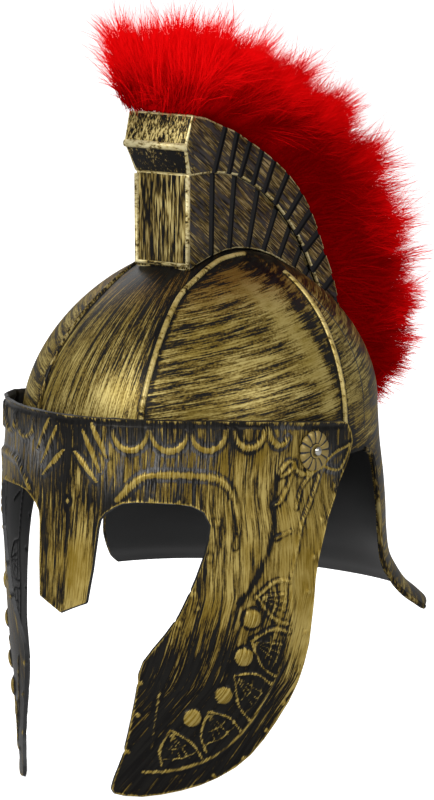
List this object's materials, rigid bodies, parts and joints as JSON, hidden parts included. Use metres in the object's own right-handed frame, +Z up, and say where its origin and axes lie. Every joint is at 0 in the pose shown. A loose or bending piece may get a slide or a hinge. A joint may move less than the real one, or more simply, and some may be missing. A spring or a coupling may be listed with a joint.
{
  "type": "gladiator costume helmet",
  "caption": "Roman gladiator costume helmet: moulded bowl with a flared neck guard, a tilting face mask with eye openings and cheek guards, a crest box and a red feather plume.",
  "frame": {"origin": "top of the head space, on the middle plane, at the inside of the crown", "axes": "+Z up, -Y out of the face, +X towards the wearer's left"},
  "size_m": [0.2244, 0.2944, 0.4337],
  "materials": {
    "skull_bowl": "black moulded plastic dry-brushed with olive gold",
    "face_mask": "black moulded plastic dry-brushed with mustard gold",
    "crest_box": "black moulded plastic dry-brushed with gold",
    "plume": "fluffy dyed feather",
    "rosette": "dull brass with dark recesses",
    "rivet": "satin"
  },
  "bodies": {
    "bowl": {"skull_bowl": "skull_bowl", "crest_box": "crest_box", "plume": "plume", "rivet_left": "rivet", "rivet_right": "rivet"},
    "mask": {"face_mask": "face_mask", "rosette_left": "rosette", "rosette_right": "rosette"}
  },
  "joints": [
    {"name": "visor", "type": "hinge", "parent": "bowl", "child": "mask", "pos_m": [0, -0.026, -0.1025], "axis": [-1, 0, 0], "range_deg": [0, 35]}
  ]
}
